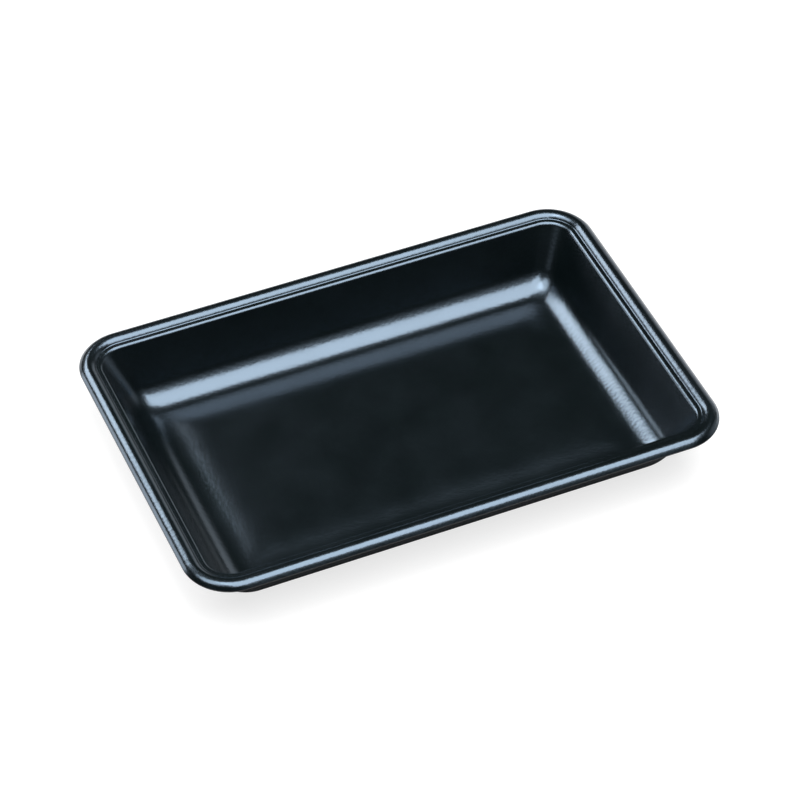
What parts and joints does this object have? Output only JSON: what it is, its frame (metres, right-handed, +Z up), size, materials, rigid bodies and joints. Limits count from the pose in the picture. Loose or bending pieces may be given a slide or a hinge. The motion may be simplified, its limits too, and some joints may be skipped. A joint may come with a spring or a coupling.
{
  "type": "food tray",
  "caption": "Shallow rectangular foam food tray with rounded corners, leaning walls, a wide round down to a flat floor and a raised bead rim with a lid ledge.",
  "frame": {"origin": "middle of the foot, on the surface that the tray stands on", "axes": "+X along the tray's length, +Y along its width, +Z up, out of its open top"},
  "size_m": [0.2, 0.1346, 0.026],
  "materials": {
    "film_faced_foam": "expanded polystyrene sheet faced with a smooth glossy black film, hot-formed, its surface gently uneven where the foam shows through"
  },
  "bodies": {
    "root": {"tray": "film_faced_foam"}
  },
  "joints": []
}
